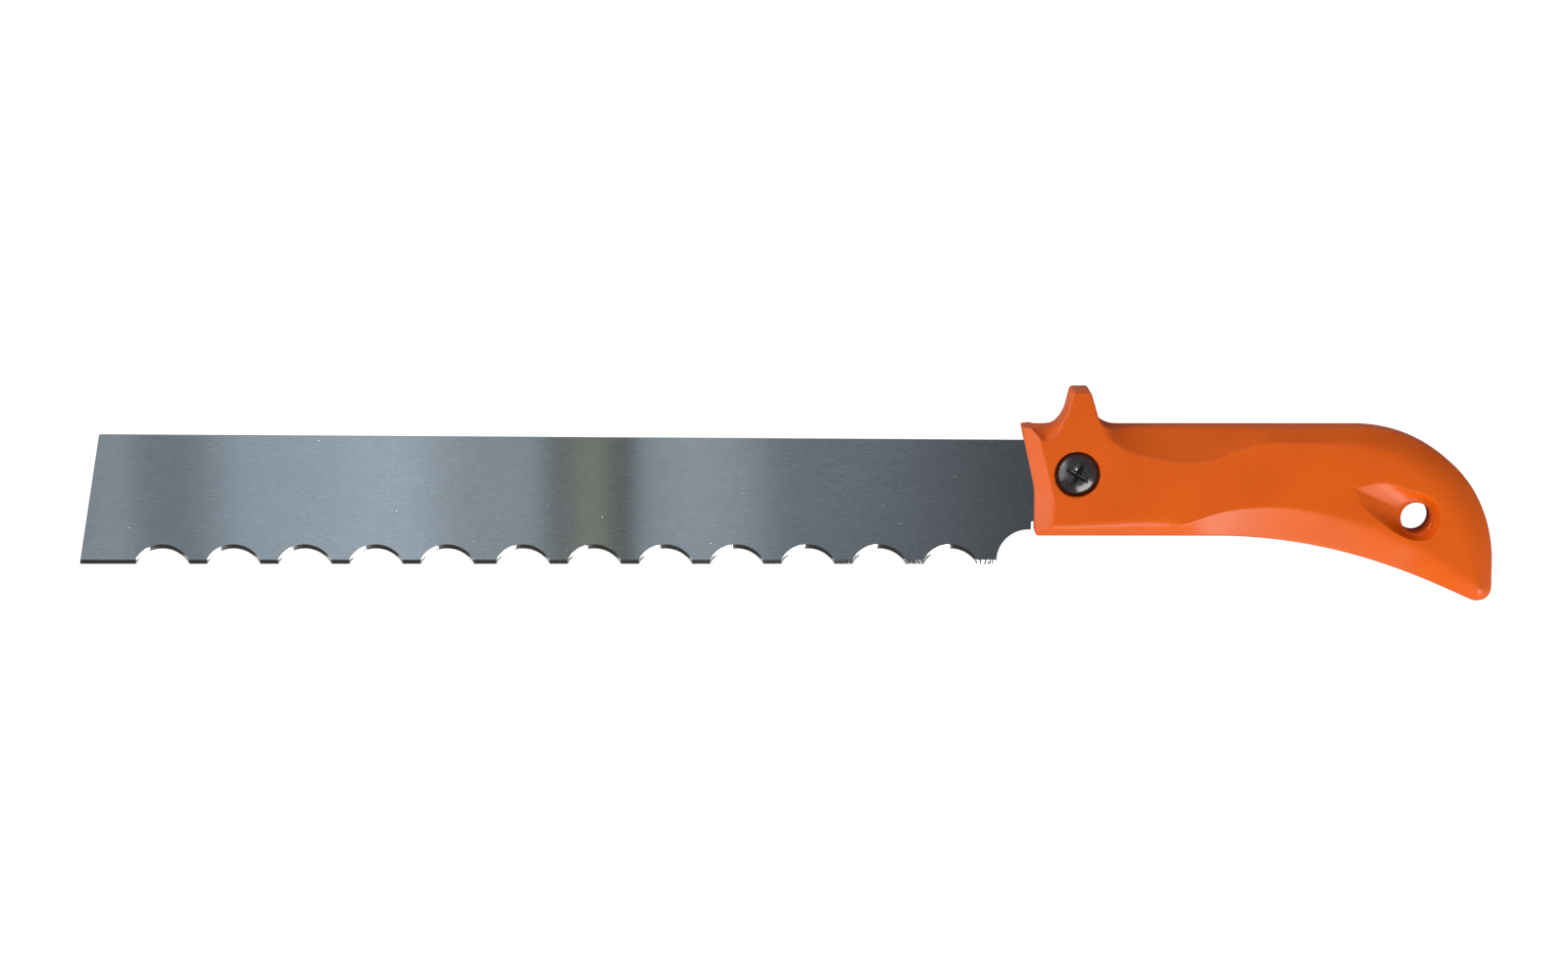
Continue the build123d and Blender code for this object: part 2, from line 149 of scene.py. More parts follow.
BELLY_CREASE = (
    (-16.0, -18.5),
    (-7.6, -18.0),
    (10.0, -17.0),
    (25.8, -16.3),
    (35.0, -16.3),
    (37.9, -15.4),
    (43.9, -13.2),
    (50.1, -11.7),
    (56.2, -10.9),
    (62.3, -10.65),
    (68.4, -10.9),
    (74.5, -11.7),
    (80.5, -12.9),
    (86.6, -14.5),
    (92.8, -16.3),
    (99.0, -18.8),
    (105.1, -21.9),
    (112.4, -25.0),
    (116.4, -28.3),
    (120.4, -31.6),
    (124.3, -34.9),
    (128.9, -37.6),
    (133.5, -40.4),
)
TROUGH_RIM = (
    (89.8, -4.4),
    (98.5, -2.7),
    (107.4, -4.9),
    (115.6, -8.2),
    (118.2, -14.5),
    (115.0, -20.8),
    (108.0, -21.2),
    (99.0, -15.8),
    (92.4, -9.6),
)

# Blade.
BLADE_HALF = 0.5
HEEL_X = -25.6
TIP_X = HEEL_X - 300.0
EDGE_Y = -30.9
SPINE_TIP_Y = 11.9
SPINE_HEEL_Y = 10.1
TIP_RAKE = 7.3
NOTCH_RADIUS = 10.0
NOTCH_DEPTH = 5.1
NOTCH_PITCH = 23.3
GRIND_GROUPS = ((-298.5, 5), (-180.5, 7))
BEVEL_WIDTH = 1.5  # ground bevel, measured along the face
EDGE_LAND = 0.1  # thickness left at the cutting edge
HEEL_RADIUS = 10.4
HEEL_ARC_Y = -29.8
SHOULDER_X = -14.4
TANG_BOTTOM_Y = -16.7
TANG_END_X = 32.0
TANG_SLOT = 6.6
TANG_MOUTH = 12.0
TANG_CORNER = 3.0

# Clamp screw.
HEAD_SEAT_Z = 7.6
HEAD_RADIUS = 6.95
HEAD_RIM = 0.8
HEAD_HEIGHT = 3.7
SCREW_RADIUS = 2.96
SCREW_END_Z = -8.4
THREAD_PITCH = 1.0
THREAD_DEPTH = 0.5
RECESS_REACH = 4.15
RECESS_WING = 1.5
RECESS_DEPTH = 2.6
RECESS_TURN = math.radians(60)
RECESS_WALL = 0.22  # how far a wing's side wall slopes inwards
RECESS_MIDDLE = 1.45  # half size of the wider middle


# ---------------------------------------------------------------- curves in the XY plane
def unit(v):
    return np.array(v, float) / np.hypot(*v)


def smooth_curve(points, start, end, step):
    """Points about a step apart on the cubic curve through the points, with the given end directions."""
    p = np.array(points, float)
    chord = np.linalg.norm(np.diff(p, axis=0), axis=1)
    count = len(p)
    left = np.eye(count)
    right = np.zeros((count, 2))
    right[0], right[-1] = unit(start), unit(end)
    for i in range(1, count - 1):
        before, after = chord[i - 1], chord[i]
        left[i, i - 1:i + 2] = after, 2 * (before + after), before
        right[i] = 3 * (after * (p[i] - p[i - 1]) / before + before * (p[i + 1] - p[i]) / after)
    slope = np.linalg.solve(left, right)
    out = []
    for i, length in enumerate(chord):
        steps = max(1, round(length / step))
        t = np.arange(steps)[:, None] / steps
        out.append(
            (2 * t**3 - 3 * t**2 + 1) * p[i]
            + (t**3 - 2 * t**2 + t) * length * slope[i]
            + (3 * t**2 - 2 * t**3) * p[i + 1]
            + (t**3 - t**2) * length * slope[i + 1]
        )
    return np.vstack(out + [p[-1:]])


def through(points, step):
    """A smooth curve through the points that leaves them in the direction of its first and last chords."""
    p = np.array(points, float)
    return smooth_curve(p, p[1] - p[0], p[-1] - p[-2], step)


def straight(a, b, step):
    steps = max(1, round(math.dist(a, b) / step))
    t = np.linspace(0, 1, steps + 1)[:, None]
    return np.array(a) * (1 - t) + np.array(b) * t


def arc(centre, radius, start, sweep, step):
    steps = max(2, round(abs(sweep) * radius / step))
    angle = start + sweep * np.linspace(0, 1, steps + 1)
    return np.stack([centre[0] + radius * np.cos(angle), centre[1] + radius * np.sin(angle)], axis=1)


def rounded(points, radii, step):
    """A polyline with a parabola of about the given radius in place of each inner corner."""
    out = [np.array([points[0]], float)]
    for before, corner, after, radius in zip(points, points[1:], points[2:], radii):
        a = np.array(corner) + unit(np.subtract(before, corner)) * radius
        c = np.array(corner) + unit(np.subtract(after, corner)) * radius
        out.append(straight(out[-1][-1], a, step)[1:])
        t = np.linspace(0, 1, 7)[1:, None]
        out.append((1 - t)**2 * a + 2 * t * (1 - t) * np.array(corner) + t**2 * c)
    out.append(straight(out[-1][-1], points[-1], step)[1:])
    return np.vstack(out)


def joined(*curves):
    """One closed loop from curves that run end to end, without the doubled points."""
    loop = np.vstack(curves)
    keep = np.linalg.norm(loop - np.roll(loop, 1, axis=0), axis=1) > 1e-4
    return loop[keep]


def circle(centre, radius, step):
    return arc(centre, radius, 0, 2 * math.pi, step)[:-1]


def hexagon(across_flats, step):
    corner = across_flats / math.sqrt(3)
    spots = [(corner * math.cos(k * math.pi / 3), corner * math.sin(k * math.pi / 3)) for k in range(6)]
    return joined(*[straight(a, b, step) for a, b in zip(spots, spots[1:] + spots[:1])])


def signed_distance(points, curve):
    """Distance to an open curve, positive on the left of its direction."""
    curve = np.array(curve, float)
    start, run = curve[:-1], np.diff(curve, axis=0)
    square = (run**2).sum(axis=1)
    out = np.empty(len(points))
    for low in range(0, len(points), 2000):
        offset = points[low:low + 2000, None] - start
        t = np.clip((offset * run).sum(axis=2) / square, 0, 1)
        gap = offset - t[..., None] * run
        far = np.hypot(gap[..., 0], gap[..., 1])
        near = far.argmin(axis=1)
        row = np.arange(len(near))
        turn = run[near, 0] * offset[row, near, 1] - run[near, 1] * offset[row, near, 0]
        out[low:low + 2000] = far[row, near] * np.where(turn >= 0, 1, -1)
    return out


def distance(points, curve):
    return np.abs(signed_distance(points, curve))


def inside(points, loop):
    """True for the points inside a closed loop."""
    out = np.zeros(len(points), bool)
    for (x0, y0), (x1, y1) in zip(loop, np.roll(loop, -1, axis=0)):
        if y0 != y1:
            cross = (points[:, 1] >= min(y0, y1)) & (points[:, 1] < max(y0, y1))
            out ^= cross & (points[:, 0] < x0 + (points[:, 1] - y0) * (x1 - x0) / (y1 - y0))
    return out


def inward(loop):
    """Unit normals that point into a clockwise loop."""
    along = np.roll(loop, -1, axis=0) - np.roll(loop, 1, axis=0)
    along /= np.linalg.norm(along, axis=1)[:, None]
    return np.stack([along[:, 1], -along[:, 0]], axis=1)


# ---------------------------------------------------------------- meshes
def triangulate(loops, free):
    """Triangles between the first loop and the others, which are holes, through the free points."""
    points = np.vstack(list(loops) + [free])
    edges = []
    low = 0
    for loop in loops:
        edges += [(low + i, low + (i + 1) % len(loop)) for i in range(len(loop))]
        low += len(loop)
    found = delaunay_2d_cdt([Vector(p) for p in points], edges, [], 0, 1e-6, True)
    spots = np.array([tuple(v) for v in found[0]])
    faces = np.array([f for f in found[2]])
    place = {}
    for new, old in enumerate(found[3]):
        for k in old:
            place[k] = new
    middle = spots[faces].mean(axis=1)
    keep = inside(middle, loops[0])
    for loop in loops[1:]:
        keep &= ~inside(middle, loop)
    rings = []
    low = 0
    for loop in loops:
        rings.append([place[low + i] for i in range(len(loop))])
        low += len(loop)
    return spots, faces[keep], rings


def hex_grid(loop, pitch):
    low, high = loop.min(axis=0), loop.max(axis=0)
    rows = np.arange(low[1], high[1], pitch * math.sqrt(3) / 2)
    out = []
    for n, y in enumerate(rows):
        x = np.arange(low[0] + (n % 2) * pitch / 2, high[0], pitch)
        out.append(np.stack([x, np.full_like(x, y)], axis=1))
    return np.vstack(out)


def thinned(points, gap):
    """The points in order, without those nearer than the gap to one that was kept before them."""
    square = gap * gap
    cells = {}
    kept = []
    for x, y in points:
        cell = (int(x // gap), int(y // gap))
        near = False
        for i in (-1, 0, 1):
            for j in (-1, 0, 1):
                for a, b in cells.get((cell[0] + i, cell[1] + j), ()):
                    near = near or (a - x)**2 + (b - y)**2 < square
        if not near:
            cells.setdefault(cell, []).append((x, y))
            kept.append((x, y))
    return np.array(kept)


class Solid:
    """Vertices and faces of one closed mesh, gathered ring by ring."""

    def __init__(self):
        self.spots = []
        self.faces = []

    def ring(self, loop, z):
        """Adds a ring of vertices. z is one height, or one for each point."""
        first = len(self.spots)
        heights = np.broadcast_to(z, len(loop))
        self.spots += [(x, y, h) for (x, y), h in zip(loop, heights)]
        return list(range(first, first + len(loop)))

    def bridge(self, a, b):
        for i in range(len(a)):
            k = (i + 1) % len(a)
            self.faces.append((a[i], a[k], b[k], b[i]))

    def cap(self, spots, z, triangles, rings):
        """Adds a triangulated face and returns its loops as rings of this solid."""
        first = len(self.spots)
        heights = np.broadcast_to(z, len(spots))
        self.spots += [(x, y, h) for (x, y), h in zip(spots, heights)]
        self.faces += [tuple(first + int(i) for i in t) for t in triangles]
        return [[first + i for i in ring] for ring in rings]

    def fan(self, ring, x, y, z):
        self.spots.append((x, y, z))
        last = len(self.spots) - 1
        for i in range(len(ring)):
            self.faces.append((ring[i], ring[(i + 1) % len(ring)], last))

    def piece(self, name, side=1):
        """The finished object, in metres in the frame. side -1 mirrors it to the back."""
        mesh = bpy.data.meshes.new(name)
        spots = [ORIGIN + Vector((x, y, side * z)) * MM for x, y, z in self.spots]
        mesh.from_pydata(spots, [], self.faces)
        work = bmesh.new()
        work.from_mesh(mesh)
        bmesh.ops.remove_doubles(work, verts=work.verts, dist=0.002 * MM)
        loose = [v for v in work.verts if not v.link_faces]
        bmesh.ops.delete(work, geom=loose, context="VERTS")
        bmesh.ops.recalc_face_normals(work, faces=work.faces)
        work.to_mesh(mesh)
        work.free()
        mesh.validate()
        piece = bpy.data.objects.new(name, mesh)
        bpy.context.scene.collection.objects.link(piece)
        return piece


def smooth_shaded(piece, degrees):
    for polygon in piece.data.polygons:
        polygon.use_smooth = True
    piece.data.set_sharp_from_angle(angle=math.radians(degrees))


# ---------------------------------------------------------------- grip
def soft(e, k):
    """e where it is positive and 0 where it is negative, with a bend of radius about k between."""
    return (e + np.sqrt(e * e + k * k)) / 2


def ease(x, low, high):
    t = np.clip((x - low) / (high - low), 0, 1)
    return t * t * (3 - 2 * t)


STEP = 0.4  # spacing of the outline's points
GRID_PITCH = 0.55
EDGE_SHARES = (0.08, 0.22, 0.45, 0.72, 1.05)  # of an edge's radius, where its rings of points lie
CREASE_GAPS = (0.0, -0.18, 0.18, -0.42, 0.42)
WALL_SHARES = (0.7, 0.4, 0.15, 0.0)  # of the side wall's height, where it is divided
FRONT_LINE = rounded(
    [BELLY_CURVE[-1], (FRONT_X, BOTTOM_Y), FRONT_KINK, FRONT_TOP, TAB_LEFT[0]], (1.5, 2.5, 0.6), STEP
)
TAB_LEFT_LINE = smooth_curve(TAB_LEFT, (1, 0), (0.3, 1), STEP)
TAB_TOP_LINE = rounded(
    [TAB_LEFT[-1], (TAB_LEFT[-1][0] + 0.35, TAB_TOP_Y), (TAB_RIGHT[0][0] - 0.35, TAB_TOP_Y), TAB_RIGHT[0]],
    (1.1, 1.1),
    STEP,
)
TOP_LINE = np.vstack([
    smooth_curve(TAB_RIGHT, (0.3, -1), (1, 0), STEP),
    straight(TAB_RIGHT[-1], REAR_CURVE[0], STEP)[1:],
])
REAR_LINE = smooth_curve(REAR_CURVE, (1, 0), (0, -1), STEP)
BUTT_LINE = np.vstack([
    straight(REAR_CURVE[-1], (BUTT_X, BUTT_CENTRE[1]), STEP),
    arc(BUTT_CENTRE, BUTT_RADIUS, 0, BUTT_SWEEP, STEP)[1:],
])
BELLY_LINE = smooth_curve(
    (BUTT_LINE[-1],) + BELLY_CURVE, (math.sin(BUTT_SWEEP), -math.cos(BUTT_SWEEP)), (-1, 0), STEP
)
OUTLINE = joined(FRONT_LINE, TAB_LEFT_LINE, TAB_TOP_LINE, TOP_LINE, REAR_LINE, BUTT_LINE, BELLY_LINE)
UPPER_SIDE = np.vstack([TOP_LINE, REAR_LINE[1:], BUTT_LINE[1:]])
LOWER_SIDE = np.vstack([
    BUTT_LINE[-20:],
    BELLY_LINE[1:],
    straight(BELLY_CURVE[-1], (FRONT_X - 20, BOTTOM_Y), STEP)[1:],
])
NOSE_SIDE = np.vstack([straight(FRONT_TOP, TAB_LEFT[0], STEP), TAB_LEFT_LINE[1:]])
TOP_CREASE = through(TOP_RIM, STEP)
LOWER_CREASE = through(BELLY_CREASE, STEP)
NOSE_CREASE = through(NOSE_RIM, STEP)
TROUGH_EDGE = through(TROUGH_RIM + TROUGH_RIM[:1], STEP)[:-1]


def front_drop(p):
    """The two facets of the front end, which meet in a mitre."""
    (ax, ay), (bx, by) = FRONT_UPPER_CREASE
    run_x, run_y = (ax - bx) * 2, (ay - by) * 2
    past_upper = signed_distance(p, [(bx - run_x, by - run_y), (ax + run_x, ay + run_y)])
    past_lower = FRONT_LOWER_CREASE_X - p[:, 0]
    upper = soft(past_upper, 0.22) * BEVEL_DROP / 5.2
    lower = soft(past_lower, 1.1) * BEVEL_DROP / (FRONT_LOWER_CREASE_X - FRONT_X)
    return -0.5 * (np.sqrt((upper - lower)**2 + 0.15**2) - upper - lower)


def nose_drop(p):
    """The scoop between the nose and the tab."""
    past = signed_distance(p, NOSE_CREASE)
    width = np.maximum(distance(p, NOSE_SIDE) + past, 1.5)
    drop = BEVEL_DROP * (1 - ease(p[:, 0], -8.5, -4.0))
    return drop * np.minimum(soft(past, 0.3) / width, 1.2)


def top_drop(p):
    """The thumb scoop right of the tab, and the roll-off along the rear of the top and round the butt."""
    x = p[:, 0]
    past = signed_distance(p, TOP_CREASE)
    width = np.maximum(distance(p, UPPER_SIDE) + past, 3.0)
    crisp = np.interp(x, (12, 40, 44, 58, 64, 100), (0.6, 0.5, 0.18, 0.18, 0.8, 2.2))
    power = np.interp(x, (56, 64, 80, 105), (1.0, 1.35, 1.35, 2.0))
    drop = BEVEL_DROP * ease(x, 6.5, 14.0)
    return drop * np.minimum(soft(past, crisp) / width, 1.1) ** power


def belly_drop(p):
    """The bevel along the underside."""
    x = p[:, 0]
    past = signed_distance(p, LOWER_CREASE[::-1])
    width = np.maximum(distance(p, LOWER_SIDE) + past, 2.0)
    crisp = np.interp(x, (30, 36, 72, 84, 120), (1.6, 0.2, 0.25, 1.0, 1.6))
    return BEVEL_DROP * np.minimum(soft(past, crisp) / width, 1.15)


def trough_drop(p):
    """A hollow that falls from its rim to the land round the hanging hole."""
    rim = TROUGH_EDGE - np.array(HOLE)
    angle = np.arctan2(rim[:, 1], rim[:, 0])
    order = angle.argsort()
    reach = np.hypot(rim[:, 0], rim[:, 1])
    offset = p - np.array(HOLE)
    far = np.hypot(offset[:, 0], offset[:, 1])
    bearing = np.arctan2(offset[:, 1], offset[:, 0])
    rim_far = np.interp(bearing, angle[order], reach[order], period=2 * math.pi)
    share = soft((rim_far - far) / (rim_far - HOLE_LAND), 0.05)
    depth = SHELL_HALF - HOLE_LAND_Z
    return depth * np.minimum(share, 1)


CREASE_NORM = 12  # the higher, the sharper the crease between two bevels


def face_height(p):
    """Height of the grip's face over its mid-plane, before the outer edge is rounded."""
    drops = np.stack([front_drop(p), nose_drop(p), top_drop(p), belly_drop(p), trough_drop(p)])
    return SHELL_HALF - (np.maximum(drops, 0)**CREASE_NORM).sum(axis=0)**(1 / CREASE_NORM)


def rounding(gap, radius):
    """How far an edge rounded to the radius lies below its face, at a distance from its side."""
    near = np.clip(radius - gap, 0, radius)
    return radius - np.sqrt(radius**2 - near**2)


def edge_rings(loop, radius, inwards):
    """Points beside a loop that carry its rounded edge."""
    normal = inward(loop) * (1 if inwards else -1)
    rings = []
    for share in EDGE_SHARES:
        ring = loop + normal * share * radius
        true_gap = distance(ring, np.vstack([loop, loop[:1]]))
        rings.append(ring[true_gap > 0.96 * share * radius])
    return np.vstack(rings)


def crease_strips(curve, gaps):
    """Rows of points along both sides of a crease."""
    along = np.gradient(curve, axis=0)
    along /= np.linalg.norm(along, axis=1)[:, None]
    normal = np.stack([along[:, 1], -along[:, 0]], axis=1)
    return np.vstack([curve + normal * gap for gap in gaps])


class Opening:
    """A hole or pocket in the grip's face."""

    def __init__(self, loop, edge, floor_z, hole=None):
        self.loop = loop
        self.edge = edge  # radius of its rim's rounding
        self.floor_z = floor_z
        self.hole = hole  # radius of the hole in its floor, or None where it goes right through

    def inner_loop(self):
        if self.hole is None:
            return self.loop
        centre = self.loop.mean(axis=0)
        offset = self.loop - centre
        return centre + offset / np.linalg.norm(offset, axis=1)[:, None] * self.hole


def shell_points(openings):
    """Points inside the outline, densest at the edges and creases."""
    upper = np.array([FRONT_UPPER_CREASE[1], FRONT_UPPER_CREASE[0]])
    lower = np.array([(FRONT_LOWER_CREASE_X, -18.0), (FRONT_LOWER_CREASE_X, -5.7)])
    mitre = straight(FRONT_KINK, FRONT_UPPER_CREASE[1], STEP)
    creases = [
        straight(*upper, STEP),
        straight(*lower, STEP),
        TOP_CREASE,
        LOWER_CREASE,
        NOSE_CREASE,
        TROUGH_EDGE,
        mitre,
    ]
    edges = [edge_rings(OUTLINE, EDGE_ROUND, True)]
    edges += [edge_rings(o.loop, o.edge, False) for o in openings]
    strips = [crease_strips(c, CREASE_GAPS) for c in creases]
    points = thinned(np.vstack(edges + strips + [hex_grid(OUTLINE, GRID_PITCH)]), 0.1)
    wanted = inside(points, OUTLINE) & (distance(points, np.vstack([OUTLINE, OUTLINE[:1]])) > 0.04)
    for o in openings:
        wanted &= ~inside(points, o.loop)
        wanted &= distance(points, np.vstack([o.loop, o.loop[:1]])) > 0.03
    return points[wanted]


def build_shell(name, side, openings):
    """One half of the grip. side 1 is the front and -1 the back."""
    solid = Solid()
    loops = [OUTLINE] + [o.loop for o in openings]
    spots, triangles, rings = triangulate(loops, shell_points(openings))
    height = face_height(spots)
    height -= rounding(distance(spots, np.vstack([OUTLINE, OUTLINE[:1]])), EDGE_ROUND)
    for o in openings:
        height -= rounding(distance(spots, np.vstack([o.loop, o.loop[:1]])), o.edge)
    face = solid.cap(spots, height, triangles, rings)

    wall = face[0]
    top = height[rings[0]]
    for share in WALL_SHARES:
        lower = solid.ring(spots[rings[0]], SEAM + (top - SEAM) * share)
        solid.bridge(wall, lower)
        wall = lower
    seam_loop = spots[rings[0]] + inward(spots[rings[0]]) * SEAM
    floor_loops = [seam_loop] + [o.inner_loop() for o in openings]
    floor_spots, floor_triangles, floor_rings = triangulate(floor_loops, np.empty((0, 2)))
    floor = solid.cap(floor_spots, 0.0, floor_triangles, floor_rings)
    solid.bridge(wall, floor[0])

    for n, o in enumerate(openings, start=1):
        wall = face[n]
        loop = spots[rings[n]]
        if o.hole is not None:
            lower = solid.ring(loop, o.floor_z)
            solid.bridge(wall, lower)
            wall = solid.ring(o.inner_loop(), o.floor_z)
            solid.bridge(lower, wall)
        solid.bridge(wall, floor[n])
    piece = solid.piece(name, side)
    smooth_shaded(piece, 40)
    return piece


FINE = 0.25
HANGING_HOLE = Opening(circle(HOLE, HOLE_RADIUS, FINE), 0.5, 0.0)
COUNTERBORE = Opening(circle((0, 0), COUNTERBORE_RADIUS, FINE), 0.45, COUNTERBORE_FLOOR_Z, SCREW_HOLE)
NUT_OPENING = Opening(hexagon(NUT_POCKET, FINE), 0.3, NUT_SEAT_Z, SCREW_HOLE)
WELL_OPENINGS = [Opening(circle(spot, WELL_RADIUS, FINE), 0.3, WELL_FLOOR_Z, WELL_HOLE) for spot in WELLS]


# ---------------------------------------------------------------- blade
def edge_line():
    """The cutting edge from tip to heel: straight lands between round scallops."""
    half = math.sqrt(NOTCH_RADIUS**2 - (NOTCH_RADIUS - NOTCH_DEPTH)**2)
    rise = math.asin((NOTCH_RADIUS - NOTCH_DEPTH) / NOTCH_RADIUS)
    out = [np.array([(TIP_X, EDGE_Y)])]
    for first, count in GRIND_GROUPS:
        for n in range(count):
            x = first + n * NOTCH_PITCH
            centre = (x, EDGE_Y + NOTCH_DEPTH - NOTCH_RADIUS)
            out.append(straight(out[-1][-1], (x - half, EDGE_Y), 1.0)[1:])
            out.append(arc(centre, NOTCH_RADIUS, math.pi - rise, -(math.pi - 2 * rise), 0.35)[1:])
    out.append(straight(out[-1][-1], (HEEL_X, EDGE_Y), 1.0)[1:])
    return np.vstack(out)


def blade_rest():
    """The blade's outline from the heel round the tang and along the spine to the tip."""
    flare = (TANG_MOUTH - TANG_SLOT) / 2
    half = TANG_SLOT / 2
    heel = arc((HEEL_X + HEEL_RADIUS, HEEL_ARC_Y), HEEL_RADIUS, math.pi, -math.pi / 2, 0.35)
    return np.vstack([
        heel,
        rounded(
            [
                (SHOULDER_X, HEEL_ARC_Y + HEEL_RADIUS),
                (SHOULDER_X, TANG_BOTTOM_Y),
                (TANG_END_X - TANG_CORNER, TANG_BOTTOM_Y),
                (TANG_END_X, TANG_BOTTOM_Y + TANG_CORNER),
                (TANG_END_X, -TANG_MOUTH / 2),
                (TANG_END_X - flare, -half),
                (0, -half),
            ],
            (0.4, 0.4, 0.4, 0.4, 0.4),
            2.0,
        ),
        arc((0, 0), half, -math.pi / 2, -math.pi, 0.4)[1:],
        rounded(
            [
                (0, half),
                (TANG_END_X - flare, half),
                (TANG_END_X, TANG_MOUTH / 2),
                (TANG_END_X, SPINE_HEEL_Y - TANG_CORNER),
                (TANG_END_X - TANG_CORNER, SPINE_HEEL_Y),
                (SHOULDER_X, SPINE_HEEL_Y),
                (TIP_X + TIP_RAKE, SPINE_TIP_Y),
                (TIP_X, EDGE_Y),
            ],
            (0.4, 0.4, 0.4, 0.4, 5.0, 0.3),
            2.0,
        )[1:-1],
    ])


def build_blade():
    """The blade from its back up: a thin land at the edge, the ground bevel, and a softened front rim."""
    edge, rest = edge_line(), blade_rest()
    loop = np.vstack([edge, rest])
    ground = np.arange(len(loop)) < len(edge)
    front = loop.copy()
    front[ground, 1] += BEVEL_WIDTH
    rake = TIP_RAKE / (SPINE_TIP_Y - EDGE_Y)
    front[0, 0] += BEVEL_WIDTH * rake
    front[len(edge) - 1, 0] += 0.01
    front[len(edge)] = front[len(edge) - 1] + np.array([0.002, 0.05])
    normal = inward(front[::-1])[::-1]
    inset = np.where(ground, 0.02, 0.06)
    round_drop = np.where(ground, 0.012, 0.06)
    solid = Solid()
    back_spots, back_triangles, back_rings = triangulate([loop], np.empty((0, 2)))
    back = solid.cap(back_spots, -BLADE_HALF, back_triangles, back_rings)[0]
    land = solid.ring(loop, EDGE_LAND - BLADE_HALF)
    shoulder = solid.ring(front, BLADE_HALF - round_drop)
    face_loop = front + normal * inset[:, None]
    face_spots, face_triangles, face_rings = triangulate([face_loop], np.empty((0, 2)))
    face = solid.cap(face_spots, BLADE_HALF, face_triangles, face_rings)[0]
    solid.bridge(back, land)
    solid.bridge(land, shoulder)
    solid.bridge(shoulder, face)
    piece = solid.piece("blade_visual")
    smooth_shaded(piece, 20)
    add_planar_uv(piece)
    return piece


def add_planar_uv(piece):
    """U across the blade and V along it, in metres, because the rolled steel spreads reflections across."""
    layer = piece.data.uv_layers.new(name="grain")
    for loop in piece.data.loops:
        spot = piece.data.vertices[loop.vertex_index].co
        layer.data[loop.index].uv = (spot.y, -spot.x)


# ---------------------------------------------------------------- clamp screw
def recess_depth(p):
    """Depth of the cross recess: two crossed wings with sloping floors and a wider middle."""
    cos, sin = math.cos(RECESS_TURN), math.sin(RECESS_TURN)
    u = p[:, 0] * cos + p[:, 1] * sin
    v = p[:, 1] * cos - p[:, 0] * sin
    far = np.hypot(u, v)
    floor = RECESS_DEPTH * np.clip(1.12 - far / RECESS_REACH, 0, 1)
    half = RECESS_WING / 2

    def wing(a, b):
        side = np.clip((half - np.abs(b)) / RECESS_WALL, 0, None)
        end = np.clip((RECESS_REACH - np.abs(a)) / RECESS_WALL, 0, None)
        return np.minimum(side, end)

    middle = (RECESS_MIDDLE - (np.abs(u) + np.abs(v)) / math.sqrt(2)) / RECESS_WALL
    middle = np.clip(middle, 0, None)
    cut = np.maximum(np.maximum(wing(u, v), wing(v, u)), middle)
    return np.minimum(floor, cut * 0.9)


def dome_height(p):
    """Height of the screw's head over its seat."""
    rise = HEAD_HEIGHT - HEAD_RIM
    sphere = (HEAD_RADIUS**2 + rise**2) / (2 * rise)
    far = np.hypot(p[:, 0], p[:, 1])
    dome = HEAD_HEIGHT - sphere + np.sqrt(sphere**2 - far**2)
    return dome - rounding(HEAD_RADIUS - far, 0.3) - recess_depth(p)


def build_clamp_screw():
    """The screw from its dome down to its tip, as one skin with an M6 thread."""
    solid = Solid()
    rim = circle((0, 0), HEAD_RADIUS, 0.2)
    rings = [rim * (1 - gap / HEAD_RADIUS) for gap in (0.03, 0.09, 0.18, 0.3)]
    free = thinned(np.vstack(rings + [hex_grid(rim, 0.16)]), 0.06)
    free = free[np.hypot(free[:, 0], free[:, 1]) < HEAD_RADIUS - 0.02]
    spots, triangles, loops = triangulate([rim], free)
    height = HEAD_SEAT_Z + dome_height(spots)
    face = solid.cap(spots, height, triangles, loops)[0]
    under = solid.ring(rim, HEAD_SEAT_Z + 0.15)
    solid.bridge(face, under)
    seat = solid.ring(rim * (1 - 0.15 / HEAD_RADIUS), HEAD_SEAT_Z)
    solid.bridge(under, seat)
    ring = seat
    count = len(rim)
    turns = np.arange(count) / count
    levels = np.arange(HEAD_SEAT_Z, SCREW_END_Z + 0.6, -0.125)
    for z in levels:
        phase = (z / THREAD_PITCH - turns) % 1.0
        thread = np.abs(2 * phase - 1)
        depth = THREAD_DEPTH * np.clip(thread * 1.25 - 0.125, 0, 1) * ease(z, 6.0, 5.0)
        radius = SCREW_RADIUS - depth
        lower = solid.ring(rim / HEAD_RADIUS * radius[:, None], z)
        solid.bridge(ring, lower)
        ring = lower
    tip = solid.ring(rim / HEAD_RADIUS * 2.2, SCREW_END_Z)
    solid.bridge(ring, tip)
    solid.fan(tip, 0, 0, SCREW_END_Z)
    piece = solid.piece("clamp_screw_visual")
    smooth_shaded(piece, 50)
    return piece


